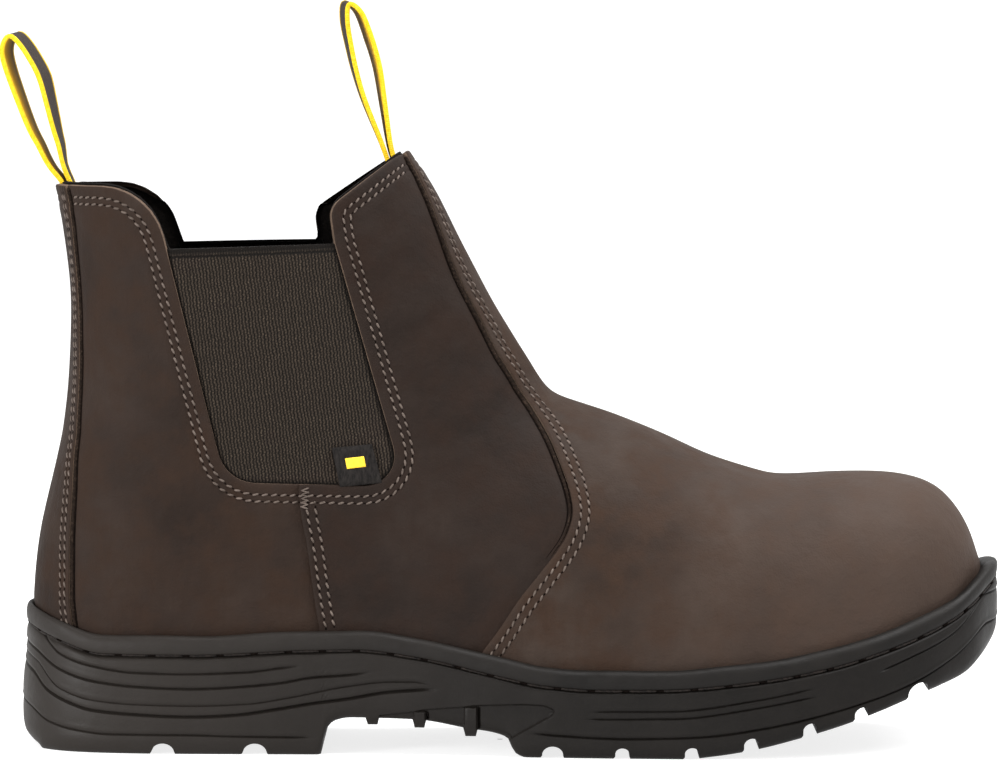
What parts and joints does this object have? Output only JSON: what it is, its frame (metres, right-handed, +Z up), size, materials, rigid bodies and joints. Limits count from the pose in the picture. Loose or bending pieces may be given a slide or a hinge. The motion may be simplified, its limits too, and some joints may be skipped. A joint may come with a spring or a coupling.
{
  "type": "side gore work boot",
  "caption": "Ankle-high pull-on work boot for the right foot, with elastic side gores, two webbing pull loops, a welt band and a lugged rubber sole.",
  "frame": {"origin": "middle of the bounding box in plan, on the floor that the sole stands on", "axes": "+X from heel to toe, +Y to the inner (medial) side, -Y to the outer side that the picture shows, +Z up"},
  "size_m": [0.312, 0.109, 0.2305],
  "materials": {
    "sole_rubber": "matte black moulded rubber",
    "welt_rubber": "smooth black welt band, slightly glossy",
    "leather": "dark brown nubuck, matte with a mottled nap",
    "elastic": "dark brown ribbed elastic",
    "footbed": "black cloth-covered insole",
    "webbing": "yellow webbing with a grey-brown face"
  },
  "bodies": {
    "root": {"outsole": "sole_rubber", "welt": "welt_rubber", "upper": "leather", "gore_lateral": "elastic", "gore_medial": "elastic", "insole": "footbed", "pull_loop_back": "webbing", "pull_loop_front": "webbing"}
  },
  "joints": []
}
